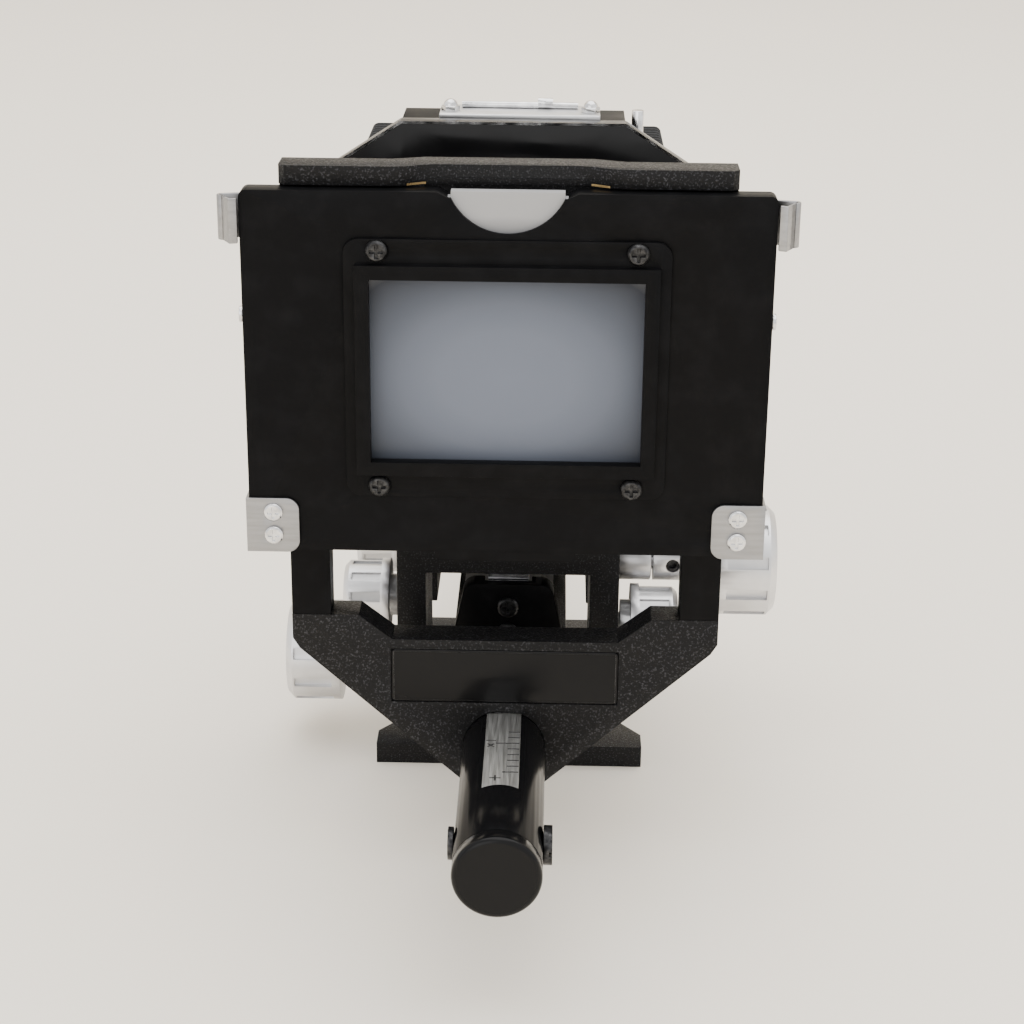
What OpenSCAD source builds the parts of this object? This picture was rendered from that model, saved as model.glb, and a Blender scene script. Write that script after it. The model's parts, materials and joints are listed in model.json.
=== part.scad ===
// Slide duplicator: a slide stage on a guide tube, in front of a bellows on a monorail.
// X runs to the right, Y away from the slide window and Z up. The origin is the middle of
// the tripod bush, on the underside of the foot. All lengths are in millimetres.

/* [Layout] */
// Height of the guide tube's axis above the ground
axis_h = 26; // [25:0.5:28]
// How far the front panel's face stands ahead of the tripod bush
panel_ahead = 79; // [78:0.5:82]
// Height of the optical axis above the tube's axis
optic_rise = 68.8; // [68:0.2:71]

/* [Front panel] */
// Width of the front panel
panel_w = 82; // [80:0.5:86]
// Height of the front panel
panel_h = 58.7; // [58:0.1:60]
// How far the panel's bottom edge is below the optical axis
panel_drop = 30.6; // [30:0.1:31]
// Thickness of the panel's sheet
sheet_t = 0.8; // [0.6:0.1:1]
// Depth of the panel's folded flanges
flange_d = 3.8; // [3.4:0.1:4]
// Half of the thumb notch's width at the top edge
notch_half = 9; // [8:0.5:10]
// Depth of the thumb notch
notch_depth = 6.4; // [5:0.2:7]
// Half of the width of the tab under the panel
tab_half = 11.3; // [9:0.5:13]
// How far the tab reaches below the panel
tab_drop = 1.5; // [1:0.1:2]

/* [Window] */
// Width of the window
window_w = 42.5; // [40:0.5:44]
// Height of the window
window_h = 29.6; // [28:0.2:31]
// Width of the raised rim around the window
rim_w = 2.2; // [1.6:0.1:2.6]
// How far the raised rim stands out
rim_out = 2; // [1.2:0.1:2.4]
// Half of the width of the bezel plate
bezel_half_w = 25.2; // [24.8:0.2:26]
// Half of the height of the bezel plate
bezel_half_h = 20.9; // [20.6:0.1:21.6]
// Thickness of the bezel plate
bezel_t = 0.6; // [0.4:0.1:0.8]
// Thickness of the opal diffuser
opal_t = 2; // [1.6:0.1:2.2]
// Half of the width of the opal diffuser
opal_half = 27; // [26:0.5:28]

/* [Clips] */
// Width of a corner clip on the panel's face
corner_w = 8; // [7:0.5:9]
// Height of a corner clip
corner_h = 9.2; // [8:0.2:10]
// Thickness of the clips' sheet
clip_t = 0.5; // [0.4:0.1:0.6]
// Height of a spring clip
spring_h = 7; // [6:0.5:8]
// How far a spring clip stands out from the panel's side
spring_out = 3.6; // [3:0.2:4]

/* [Stage] */
// How far the stage frame's sides are in from the panel's sides
stage_inset = 5.8; // [5.4:0.1:6]
// Half of the width of the recess in the bar along the stage's top
recess_half = 13; // [12:0.5:14]
// Thickness of the stage frame
stage_t = 4; // [3.5:0.1:4.2]
// Height of the bar along the top of the stage frame
bar_h = 3; // [2.5:0.1:3.5]
// How far the middle of the bar is set back
bar_set_back = 2.3; // [1.5:0.1:2.8]
// Width of a post
post_w = 6.5; // [6:0.1:7]
// Thickness of a post
post_t = 5.2; // [4.6:0.1:5.6]
// Half of the width of the hood's folds
hood_half = 23.2; // [22.6:0.1:23.4]
// How far the stage moves up and down from its middle setting
stage_rise = 4; // [2:0.5:4]

/* [Carriage] */
// Thickness of the carriage casting
carriage_t = 6; // [5.8:0.1:6.6]
// Height of the casting's shoulders above the tube's axis
shoulder_rise = 24.2; // [23.5:0.1:25]
// Height of the casting's middle above the tube's axis
middle_rise = 19.9; // [19.5:0.1:21]
// Outer radius of the boss round the tube
boss_r = 9.4; // [9:0.1:10]
// Length of the boss along the tube
boss_len = 16; // [12:0.5:17]
// Width of the bare name plate
plate_w = 38; // [34:0.5:40]
// Height of the bare name plate
plate_h = 9.6; // [8:0.2:10]

/* [Guide tube] */
// Outer radius of the guide tube
tube_r = 7; // [6.6:0.1:7.2]
// Wall of the guide tube
tube_wall = 1.4; // [1.2:0.1:1.8]
// How far the tube's cap reaches ahead of the front panel
tube_ahead = 37.3; // [34:0.5:40]
// Length of the scale plate
scale_len = 27; // [24:0.5:30]
// Thickness of the scale plate
scale_t = 0.3; // [0.2:0.05:0.4]

/* [Rail] */
// Half of the rail's width
rail_half = 8; // [7.8:0.1:8.4]
// Length of the rail
rail_len = 138; // [130:1:150]
// How far the rail's front end is behind the front panel
rail_behind = 33; // [32.5:0.5:34]
// Tooth size of the racks and pinions
tooth_m = 0.8; // [0.8:0.8:0.8]
// Teeth on a pinion
pinion_teeth = 12; // [12:1:12]

/* [Standards] */
// Outer half width of a standard's saddle
saddle_half = 19.5; // [19:0.1:20]
// Inner half width of a standard's saddle
saddle_inner = 14.4; // [14:0.1:14.6]
// Length of the front saddle along the rail
front_saddle_len = 20; // [19.5:0.5:21]
// Length of the rear saddle along the rail
rear_saddle_len = 32; // [30:0.5:34]
// Thickness of a standard's board
board_t = 3; // [2.5:0.1:3.4]
// Half of a board's width
board_half = 34; // [32:0.5:35]
// Half of the width of a board's top edge
board_top_half = 18.7; // [17:0.5:20]
// Height of the cut corners at a board's top
board_cut = 9.9; // [9:0.1:10.4]
// Height of the front board's top edge above the optical axis
board_rise = 32.3; // [31.5:0.1:33]
// Height of the rear board's top edge above the optical axis
rear_board_rise = 25; // [24.6:0.1:26]
// Half of the rear board's width
rear_board_half = 30; // [29:0.5:31]
// Distance between the two saddles
saddle_space = 16; // [14:0.5:18]
// How far the rear saddle's pads start behind its front
rear_pad_in = 13; // [12.5:0.5:14]
// How far a rear drive shaft is behind the front of its saddle
rear_drive_in = 20; // [18:0.5:22]
// How far a front drive shaft is behind the front of its saddle
front_drive_in = 10; // [9.5:0.5:10.5]
// Inner radius of the lens mount ring
mount_r = 22; // [21.5:0.5:22.5]
// Inner radius of the camera mount ring
camera_r = 21; // [20.5:0.1:21.2]
// Half of the width of the main bellows
bellows_outer = 26; // [25.5:0.1:26.5]
// Number of folds in each half of the main bellows
bellows_folds = 3; // [3:1:4]

/* [Knobs] */
// Radius of a drive knob
knob_r = 9.8; // [9:0.1:10.2]
// Length of a drive knob
knob_len = 10.4; // [9:0.2:11]
// Radius of a lock knob
lock_r = 6.2; // [5.8:0.1:6.4]
// Length of a lock knob's fluted part
lock_len = 6.8; // [6:0.2:7.4]
// Number of flutes on every knob
flutes = 10; // [8:1:12]
// Radius of a drive shaft
shaft_r = 2; // [1.8:0.1:2.1]
// Radius of a lock screw's shank
lock_shank_r = 1.5; // [1.3:0.1:1.6]

/* [Foot] */
// Half of the foot's width
foot_half = 25.5; // [24:0.5:28]
// Half of the foot's length
foot_half_len = 30; // [29:0.5:33]
// Thickness of the foot
foot_t = 4.2; // [4:0.1:4.6]
// Depth of the foot's front and rear bars
foot_bar = 10.6; // [9:0.2:11]
// Wall of the base block beside the rail
base_wall = 2.4; // [2.2:0.1:2.6]
// Height between the base block and the saddles above it
base_gap = 1.2; // [1:0.1:1.3]
// Radius of the hole in the tripod bush
bush_hole_r = 2.6; // [2.4:0.1:2.8]
// Length of the tripod bush
bush_len = 8; // [7:0.5:8.5]

/* [Fits] */
// Gap round a turning shaft
fit = 0.05; // [0.03:0.01:0.08]
// Gap between flat sliding faces
slide_gap = 0.2; // [0.15:0.05:0.25]
// Gap round a screw or dowel that doesn't move
screw_gap = 0.02; // [0.01:0.01:0.03]
// Gap between neighbours on different bodies
body_gap = 0.4; // [0.3:0.05:0.45]

/* [Hidden] */
$fn = 48;

black = "#1b1b1d";
crinkle = "#242426";
gloss_black = "#0e0f12";
satin = "#b9bbbe";
opal = "#d5d9e2";

// Heights
optic_z = axis_h + optic_rise;
panel_bottom = optic_z - panel_drop;
panel_top = panel_bottom + panel_h;
rail_bottom = axis_h - 2.8;
rail_top = axis_h + 16.8;
pitch_r = tooth_m * pinion_teeth / 2;
rack_tip = 0.5;
rack_root = 0.85;
pinion_tip_r = pitch_r + 0.6;
pinion_root_r = pitch_r - 0.95;
top_pitch_z = rail_top + 1.4;
low_pitch_z = rail_bottom - 1.4;
drive_z = top_pitch_z + pitch_r;
rail_drive_z = low_pitch_z - pitch_r;
lock_z = axis_h + 12.9;
groove_low = axis_h + 3;
groove_high = groove_low + 1.4;
groove_d = 2;
saddle_low = axis_h + 2.5;
saddle_bar_low = drive_z + 0.5;
saddle_top = saddle_bar_low + 8.5;
board_low = saddle_top - 2;

// Widths that follow the panel's
stage_w = panel_w - 2 * stage_inset;
post_outer = stage_w / 2 + slide_gap;

// Places along Y
panel_y = -panel_ahead;
flange_back = panel_y + flange_d;
opal_y = panel_y + sheet_t;
gate_y = opal_y + opal_t;
stage_y = flange_back + body_gap + 0.2;
post_y = stage_y + stage_t - 2.6;
carriage_y = post_y;
carriage_back = carriage_y + carriage_t;
boss_back = carriage_y + boss_len;
cap_y = panel_y - tube_ahead;
rail_y = panel_y + rail_behind;
block_front = rail_y - 4;
rail_back = rail_y + rail_len;
front_saddle_y = rail_y - 7;
front_drive_y = front_saddle_y + front_drive_in;
front_board_y = front_saddle_y + front_saddle_len / 2 - board_t / 2;
rear_saddle_y = front_saddle_y + front_saddle_len + saddle_space;
rear_drive_y = rear_saddle_y + rear_drive_in;
rear_lock_y = rear_saddle_y + 7;
rear_board_y = rear_saddle_y + 5;
rail_drive_y = -15;

// Pins that the front panel swings on
hinge_y = flange_back - 0.6;
hinge_z = panel_bottom + 2;
hinge_r = 0.8;

// Window and screws
rim_half_w = window_w / 2 + rim_w;
rim_half_h = window_h / 2 + rim_w;
bezel_screw_x = bezel_half_w - 5.2;
bezel_screw_z = bezel_half_h - 1.8;
panel_screw_r = 1.7;
clip_screw_r = 1.5;
thread_r = 0.9;

// Carriage
plate_recess = 0.5;
plate_z = axis_h + 13.3;
bore_r = tube_r + fit;
lower_corner_rise = shoulder_rise - 4.3;
slope_in = post_outer - 16.6;
slope_out = post_outer - 11.1;

// Foot and base
block_half = rail_half + slide_gap + base_wall;
block_half_len = 26;
block_top = saddle_low - base_gap;
lip_low = axis_h - 0.5;
lip_high = axis_h + 2;
lip_d = 1.5;
bush_r = 5;
foot_screw_x = block_half - 4.6;
foot_screw_y = 20;

// Knobs
sleeve_r = 3.9;
sleeve_end = saddle_half + 6.2;
knob_hub_end = sleeve_end + 11;
knob_end = knob_hub_end + knob_len;
lock_hub = 1.8;
lock_flange = 1.5;
lock_start = saddle_half + body_gap;

// ---- shapes that repeat ----

// A flat outline drawn in X and Z, made solid from y to y + t.
module slab(y, t) {
    translate([0, y + t, 0]) rotate([90, 0, 0]) linear_extrude(t) children();
}

// A round bar along X, from x0 to x1.
module bar_x(x0, x1, r, y, z) {
    translate([x0, y, z]) rotate([0, 90, 0]) cylinder(h = x1 - x0, r = r);
}

// A round bar along Y, from y0 to y1.
module bar_y(y0, y1, r, x, z) {
    translate([x, y0, z]) rotate([-90, 0, 0]) cylinder(h = y1 - y0, r = r);
}

// A rectangle with round corners.
module round_rect(x0, z0, x1, z1, r) {
    translate([x0 + r, z0]) square([x1 - x0 - 2 * r, z1 - z0]);
    translate([x0, z0 + r]) square([x1 - x0, z1 - z0 - 2 * r]);
    for (cx = [x0 + r, x1 - r], cz = [z0 + r, z1 - r]) translate([cx, cz]) circle(r);
}

// A box between two corners.
module block(a, b) {
    translate(a) cube(b - a);
}

// A cross-head screw that faces the front: head ahead of y, shank behind it.
module front_screw(x, y, z, head_r, head_h, shank_len) {
    slot_w = head_r * 0.3;
    slot_half = head_r * 0.62;
    difference() {
        union() {
            bar_y(y - head_h * 0.6, y, head_r, x, z);
            translate([x, y - head_h * 0.6, z]) rotate([90, 0, 0])
                cylinder(h = head_h * 0.4, r1 = head_r, r2 = head_r * 0.8);
            bar_y(y - 0.01, y + shank_len, thread_r, x, z);
        }
        for (turn = [0, 90]) translate([x, y - head_h, z]) rotate([0, turn, 0])
            translate([-slot_half, -1, -slot_w / 2]) cube([slot_half * 2, 1 + head_h * 0.6, slot_w]);
    }
}

// The holes that front screws pass through.
module front_holes(places, y0, y1) {
    for (p = places) bar_y(y0, y1, thread_r + screw_gap, p[0], p[1]);
}

// One flank of an involute tooth: the points from the base circle to the tip.
function involute(r, base_r, start) = let (
    a = acos(min(1, base_r / r)),
    turn = start + (tan(a) * 180 / PI - a)
) [r * cos(turn), r * sin(turn)];

// The outline of a pinion. A tooth points along the first axis at turn 0.
module pinion_outline(turn) {
    steps = 4;
    base_r = pitch_r * cos(20);
    pitch_turn = tan(20) * 180 / PI - 20;
    half = 90 / pinion_teeth - 1.7;
    points = [for (i = [0 : pinion_teeth - 1]) let (centre = turn + i * 360 / pinion_teeth) each [
        [pinion_root_r * cos(centre - half - pitch_turn - 2),
            pinion_root_r * sin(centre - half - pitch_turn - 2)],
        for (k = [0 : steps]) let (r = base_r + (pinion_tip_r - base_r) * k / steps)
            involute(r, base_r, centre - half - pitch_turn),
        for (k = [steps : -1 : 0]) let (
            r = base_r + (pinion_tip_r - base_r) * k / steps,
            p = involute(r, base_r, -half - pitch_turn)
        ) [p[0] * cos(centre) + p[1] * sin(centre), p[0] * sin(centre) - p[1] * cos(centre)],
        [pinion_root_r * cos(centre + half + pitch_turn + 2),
            pinion_root_r * sin(centre + half + pitch_turn + 2)],
    ]];
    polygon(points);
}

// A pinion on a shaft along X. Its teeth mesh with a rack above (up = 1) or below (up = -1)
// that has one of its gaps at gap_y.
module pinion(x0, x1, shaft0, shaft1, y, z, up, gap_y) {
    pitch = PI * tooth_m;
    past = (y - gap_y) - floor((y - gap_y) / pitch) * pitch;
    turn = up * past / pitch_r * 180 / PI;
    translate([x0, y, z]) rotate([0, 90, 0]) linear_extrude(x1 - x0)
        pinion_outline(up > 0 ? 180 + turn : turn);
    bar_x(shaft0, shaft1, shaft_r, y, z);
}

// Rack teeth from y0 to y1 about a pitch line at z. A gap faces the pinion at gap_y.
module rack(y0, y1, z, up, gap_y, half_w) {
    pitch = PI * tooth_m;
    first = ceil((y0 - gap_y) / pitch);
    last = floor((y1 - gap_y) / pitch) - 1;
    tip_half = pitch / 4 - rack_tip * tan(20) - 0.08;
    root_half = pitch / 4 + rack_root * tan(20) - 0.08;
    for (i = [first : last]) let (centre = gap_y + (i + 0.5) * pitch)
        translate([-half_w, centre, z]) rotate([90, 0, 90]) linear_extrude(half_w * 2)
            polygon([
                [-root_half, -up * rack_root], [-tip_half, up * rack_tip],
                [tip_half, up * rack_tip], [root_half, -up * rack_root],
            ]);
}

// A fluted drive knob along X, from x0 outwards by side (1 or -1), with a hub towards the work.
module drive_knob(hub_start, x0, side, y, z) {
    lip = 1.2;
    difference() {
        translate([x0, y, z]) rotate([0, side * 90, 0]) rotate_extrude() polygon([
            [0, 0], [knob_r, 0], [knob_r, knob_len - lip], [knob_r - lip, knob_len], [0, knob_len],
        ]);
        for (i = [0 : flutes - 1]) translate([x0, y, z]) rotate([i * 360 / flutes, 0, 0])
            translate([side > 0 ? 1.6 : 1.6 - knob_len, -1.1, knob_r - 0.8])
                cube([knob_len - 3.2, 2.2, 2]);
        translate([x0, y, z]) rotate([0, side * 90, 0])
            translate([0, 0, -1]) cylinder(h = knob_len - 1, r = shaft_r + screw_gap);
    }
    difference() {
        bar_x(min(hub_start, x0), max(hub_start, x0), sleeve_r, y, z);
        bar_x(min(hub_start, x0) - 1, max(hub_start, x0) + 1, shaft_r + screw_gap, y, z);
        children();
    }
}

// A fluted lock knob on a screw along X, on the side given by side (1 or -1).
module lock_knob(side, y) {
    lip = 0.9;
    translate([side * lock_start, y, lock_z]) rotate([0, side * 90, 0]) difference() {
        rotate_extrude() polygon([
            [0, 0], [3.8, 0], [3.8, lock_hub], [lock_r + 0.5, lock_hub],
            [lock_r + 0.5, lock_hub + lock_flange], [lock_r, lock_hub + lock_flange],
            [lock_r, lock_hub + lock_flange + lock_len - lip],
            [lock_r - lip, lock_hub + lock_flange + lock_len],
            [0, lock_hub + lock_flange + lock_len],
        ]);
        for (i = [0 : flutes - 1]) rotate([0, 0, i * 360 / flutes])
            translate([lock_r - 0.4, -0.8, lock_hub + lock_flange]) cube([2, 1.6, lock_len - 1.5]);
    }
    bar_x(side > 0 ? saddle_inner + 1 : -lock_start, side > 0 ? lock_start : -saddle_inner - 1,
        lock_shank_r, y, lock_z);
}

// A saddle that straddles the rail, with pads in the rail's grooves and a pocket for the pinion.
module saddle(y, len, pad_y, drive_y, lock_ys) {
    color(crinkle) difference() {
        union() {
            slab(y, len) difference() {
                round_rect(-saddle_half, saddle_low, saddle_half, saddle_top, 1.2);
                translate([-saddle_inner, saddle_low - 1])
                    square([saddle_inner * 2, saddle_bar_low - saddle_low + 1]);
            }
            for (side = [-1, 1]) {
                pad = rail_half - groove_d + slide_gap;
                block([side > 0 ? pad : -saddle_inner - 1, pad_y, groove_low + slide_gap],
                    [side > 0 ? saddle_inner + 1 : -pad, y + len, groove_high - slide_gap]);
            }
        }
        block([-5, drive_y - pinion_tip_r - 0.8, saddle_bar_low - 1],
            [5, drive_y + pinion_tip_r + 0.8, drive_z + pinion_tip_r + 0.8]);
        bar_x(-saddle_inner - 2, saddle_half + 1, shaft_r + fit, drive_y, drive_z);
        for (lock = lock_ys) bar_x(lock[0] > 0 ? saddle_inner + 0.8 : -saddle_half - 1,
            lock[0] > 0 ? saddle_half + 1 : -saddle_inner - 0.8, lock_shank_r + fit, lock[1], lock_z);
    }
}

// A standard's board: a plate with cut corners and a round light path.
module board_outline(rise, half) {
    top = optic_z + rise;
    top_half = half - (board_half - board_top_half);
    polygon([
        [-top_half, top], [top_half, top], [half, top - board_cut],
        [half, board_low + 17], [saddle_half + 2.5, board_low],
        [-saddle_half - 2.5, board_low], [-half, board_low + 17], [-half, top - board_cut],
    ]);
}

module board(y, rise, half, hole_r) {
    color(gloss_black) difference() {
        slab(y, board_t) difference() {
            board_outline(rise, half);
            translate([0, optic_z]) circle(hole_r);
        }
        block([-saddle_half - screw_gap, y - 1, board_low - 1],
            [saddle_half + screw_gap, y + board_t + 1, saddle_top]);
    }
}

// A ring with a step, round the optical axis.
module mount_ring(y, depth, inner_r, outer_r) {
    color(satin) translate([0, y, optic_z]) rotate([-90, 0, 0]) rotate_extrude() polygon([
        [inner_r, 0], [outer_r, 0], [outer_r, depth * 0.6], [outer_r - 1.2, depth * 0.6],
        [outer_r - 1.2, depth], [inner_r, depth],
    ]);
}

// A square tube of folds along Y, open along the optical axis.
module folds(y0, y1, count, outer, wall, depth) {
    step = (y1 - y0) / count;
    difference() {
        for (i = [0 : count - 1]) {
            translate([0, y0 + i * step, optic_z]) fold(step, outer, depth);
        }
        translate([-outer + depth + wall, y0 - 1, optic_z - outer + depth + wall])
            cube([2 * (outer - depth - wall), y1 - y0 + 2, 2 * (outer - depth - wall)]);
    }
}

// One fold: wide in the middle and narrow at both ends.
module fold(step, outer, depth) {
    inner = outer - depth;
    polyhedron(
        points = [
            for (row = [[0, inner], [step / 2, outer], [step, inner]], c = [[-1, -1], [1, -1], [1, 1], [-1, 1]])
                [c[0] * row[1], row[0], c[1] * row[1]],
        ],
        faces = [
            [0, 3, 2, 1], [8, 9, 10, 11],
            for (row = [0, 4], i = [0 : 3]) let (a = row + i, b = row + (i + 1) % 4)
                [a, b, b + 4, a + 4],
        ]
    );
}

// ---- foot and base block ----

module foot() {
    cut = 4;
    color(black) difference() {
        linear_extrude(foot_t) {
            for (side = [-1, 1]) polygon([
                [-foot_half, side * foot_half_len], [foot_half, side * foot_half_len],
                [foot_half, side * (foot_half_len - foot_bar / 2)],
                [foot_half - cut, side * (foot_half_len - foot_bar)],
                [-foot_half + cut, side * (foot_half_len - foot_bar)],
                [-foot_half, side * (foot_half_len - foot_bar / 2)],
            ]);
            translate([-block_half, -foot_half_len + 1]) square([block_half * 2, foot_half_len * 2 - 2]);
        }
        translate([0, 0, -1]) cylinder(h = foot_t + 2, r = bush_r + screw_gap);
        foot_screw_holes(-1, foot_t + 1);
        for (x = [-foot_screw_x, foot_screw_x], y = [-foot_screw_y, foot_screw_y])
            translate([x, y, -1]) cylinder(h = 2.4, r = 2.5 + screw_gap);
    }
}

module foot_screw_holes(z0, z1) {
    for (x = [-foot_screw_x, foot_screw_x], y = [-foot_screw_y, foot_screw_y])
        translate([x, y, z0]) cylinder(h = z1 - z0, r = 1.25 + screw_gap);
}

module base_block() {
    channel = rail_half + slide_gap;
    lip = rail_half - lip_d + slide_gap;
    color(crinkle) difference() {
        block([-block_half, -block_half_len, foot_t], [block_half, block_half_len, block_top]);
        block([-channel, -block_half_len - 1, rail_bottom - slide_gap],
            [channel, block_half_len + 1, lip_low + slide_gap]);
        block([-lip, -block_half_len - 1, rail_bottom - slide_gap],
            [lip, block_half_len + 1, block_top + 1]);
        block([-channel, -block_half_len - 1, lip_high - slide_gap],
            [channel, block_half_len + 1, block_top + 1]);
        block([-4, -block_half_len - 1, low_pitch_z - rack_tip - 0.4],
            [4, block_half_len + 1, rail_bottom]);
        block([-4.5, rail_drive_y - pinion_tip_r - 0.8, rail_drive_z - pinion_tip_r - 0.8],
            [4.5, rail_drive_y + pinion_tip_r + 0.8, rail_bottom]);
        bar_x(-block_half - 1, block_half - 4, shaft_r + fit, rail_drive_y, rail_drive_z);
        translate([0, 0, foot_t - 1]) cylinder(h = bush_len - foot_t + 1.2, r = bush_r + screw_gap);
        foot_screw_holes(foot_t - 1, foot_t + 5.2);
    }
}

module tripod_bush() {
    color("#c8a24a") difference() {
        cylinder(h = bush_len, r = bush_r);
        translate([0, 0, -1]) cylinder(h = bush_len + 2, r = bush_hole_r);
    }
}

module foot_screws() {
    color(satin) for (x = [-foot_screw_x, foot_screw_x], y = [-foot_screw_y, foot_screw_y])
        translate([x, y, 0]) difference() {
            union() {
                translate([0, 0, 0.2]) cylinder(h = 1.2, r = 2.5);
                translate([0, 0, 1]) cylinder(h = foot_t + 4, r = 1.25);
            }
            for (turn = [0, 90]) rotate([0, 0, turn])
                translate([-1.5, -0.35, -1]) cube([3, 0.7, 1.8]);
        }
}

// ---- rail, guide tube and what is fixed to them ----

module rail() {
    color(satin) difference() {
        union() {
            slab(rail_y, rail_len) difference() {
                translate([-rail_half, rail_bottom]) square([rail_half * 2, rail_top - rail_bottom]);
                for (side = [-1, 1]) {
                    translate([side > 0 ? rail_half - groove_d : -rail_half - 1, groove_low])
                        square([groove_d + 1, groove_high - groove_low]);
                    translate([side > 0 ? rail_half - lip_d : -rail_half - 1, lip_low])
                        square([lip_d + 1, lip_high - lip_low]);
                }
            }
            block([-3, rail_y, rail_top - 1], [3, rail_back, top_pitch_z - rack_root + 0.01]);
            block([-3, rail_y, low_pitch_z + rack_root - 0.01], [3, rail_back, rail_bottom + 1]);
            rack(rail_y, rail_back, top_pitch_z, 1, front_drive_y, 3);
            rack(rail_y, rail_back, low_pitch_z, -1, rail_drive_y, 3);
        }
        front_holes(rail_end_places(), rail_y - 1, rail_y + 5.2);
        for (z = [axis_h + 2, axis_h + 12]) bar_y(rail_back - 5.2, rail_back + 1,
            thread_r + screw_gap, 0, z);
    }
}

function rail_end_places() = [[0, axis_h + 11], [0, axis_h + 16]];

// The black block that closes the rail's front end and holds the guide tube.
module rail_end_block() {
    top = axis_h + 20.3;
    low = axis_h - boss_r;
    color(black) difference() {
        slab(block_front, rail_y - block_front) difference() {
            union() {
                polygon([
                    [-8.1, top - 2.4], [-5.7, top - 2.4], [-5.7, top], [5.7, top], [5.7, top - 2.4],
                    [8.1, top - 2.4], [10.6, axis_h + 6], [10.6, axis_h - 3],
                    [-10.6, axis_h - 3], [-10.6, axis_h + 6],
                ]);
                for (side = [-1, 1]) translate([side * 5.7, top - 2.4]) circle(2.4);
                translate([0, axis_h]) circle(boss_r);
                translate([-6, low]) square([12, 6]);
            }
        }
        bar_y(block_front - 1, rail_y + 1, tube_r + screw_gap, 0, axis_h);
        block([-4.2, front_drive_y - pinion_tip_r + 0.3, drive_z - pinion_tip_r - 0.4],
            [4.2, rail_y + 1, top + 1]);
        front_holes(rail_end_places(), block_front - 1, rail_y + 1);
    }
}

module rail_end_screws() {
    color(black) for (p = rail_end_places())
        front_screw(p[0], block_front, p[1], 1.9, 0.8, rail_y - block_front + 5);
}

module rail_stop() {
    places = [[0, axis_h + 2], [0, axis_h + 12]];
    color(black) difference() {
        slab(rail_back, 3) round_rect(-rail_half - 2, rail_bottom - 3, rail_half + 2, rail_top + 2.4, 1.5);
        for (p = places) bar_y(rail_back - 1, rail_back + 4, thread_r + screw_gap, p[0], p[1]);
    }
    color(satin) for (p = places) translate([0, 2 * (rail_back + 1.5), 0]) mirror([0, 1, 0])
        translate([0, 0, 0]) front_screw(p[0], rail_back, p[1], 1.7, 0.9, 8);
}

module guide_tube() {
    flat_z = axis_h + tube_r - 1;
    scale_y = carriage_y + 1 - scale_len;
    color(black) difference() {
        bar_y(cap_y + 3, rail_y, tube_r, 0, axis_h);
        bar_y(cap_y + 2, rail_y + 1, tube_r - tube_wall, 0, axis_h);
        block([-tube_r, scale_y, flat_z], [tube_r, scale_y + scale_len, axis_h + tube_r + 1]);
        bar_x(-tube_r - 1, tube_r + 1, 1 + screw_gap, panel_y - 26.6, axis_h);
    }
}

module tube_cap() {
    edge = 1;
    color(black) translate([0, cap_y, axis_h]) rotate([-90, 0, 0]) {
        rotate_extrude() {
            translate([0, edge]) square([tube_r, 3 - edge]);
            square([tube_r - edge, 3]);
            translate([tube_r - edge, edge]) intersection() {
                circle(edge);
                translate([0, -edge]) square(edge * 2);
            }
        }
        translate([0, 0, 3]) cylinder(h = 5, r = tube_r - tube_wall - screw_gap);
    }
}

module tube_cross_screw() {
    y = panel_y - 26.6;
    color(satin) difference() {
        union() {
            bar_x(-tube_r - 0.6, tube_r + 0.1, 1, y, axis_h);
            bar_x(tube_r, tube_r + 1.4, 3.1, y, axis_h);
            bar_x(-tube_r - 0.9, -tube_r, 2.6, y, axis_h);
        }
        block([tube_r + 0.8, y - 4, axis_h - 0.4], [tube_r + 2, y + 4, axis_h + 0.4]);
    }
}

module scale_plate() {
    scale_y = carriage_y + 1 - scale_len;
    flat_z = axis_h + tube_r - 1;
    color(satin) block([-2.9, scale_y + 0.1, flat_z], [2.9, scale_y + scale_len - 0.1, flat_z + scale_t]);
}

// ---- carriage ----

module carriage_outline() {
    corner = 2;
    high = axis_h + shoulder_rise;
    low = axis_h + lower_corner_rise;
    mid = axis_h + middle_rise;
    slope = atan2(low - corner * 0.7 - axis_h + 12, post_outer);
    touch = [boss_r * sin(slope), -boss_r * cos(slope)];
    polygon([
        [-post_outer, high], [-slope_out, high], [-slope_in, mid], [slope_in, mid], [slope_out, high],
        [post_outer, high], [post_outer, low], [post_outer - corner * 0.55, low - corner * 0.9],
        [touch[0], axis_h + touch[1]], [-touch[0], axis_h + touch[1]],
        [-post_outer + corner * 0.55, low - corner * 0.9], [-post_outer, low],
    ]);
    translate([0, axis_h]) circle(boss_r);
}

module carriage_casting() {
    color(crinkle) difference() {
        union() {
            slab(carriage_y, carriage_t) carriage_outline();
            bar_y(carriage_y, boss_back, boss_r, 0, axis_h);
            translate([0, boss_back - 4.5, axis_h - boss_r - 2]) cylinder(h = 5, r = 3.4);
        }
        bar_y(carriage_y - 1, boss_back + 1, bore_r, 0, axis_h);
        slab(carriage_y - 1, 1 + plate_recess) translate([-plate_w / 2 - 0.1, plate_z - plate_h / 2 - 0.1])
            square([plate_w + 0.2, plate_h + 0.2]);
        dowel_holes(axis_h + shoulder_rise - 6.2, axis_h + shoulder_rise + 1);
        translate([0, boss_back - 4.5, axis_h - boss_r - 3])
            cylinder(h = boss_r, r = lock_shank_r + fit);
    }
}

module name_plate() {
    color(gloss_black) slab(carriage_y, plate_recess)
        round_rect(-plate_w / 2, plate_z - plate_h / 2, plate_w / 2, plate_z + plate_h / 2, 0.8);
}

module dowel_holes(z0, z1) {
    for (side = [-1, 1]) translate([side * (post_outer - post_w / 2), post_y + post_t / 2, z0])
        cylinder(h = z1 - z0, r = 1.2 + screw_gap);
}

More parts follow.
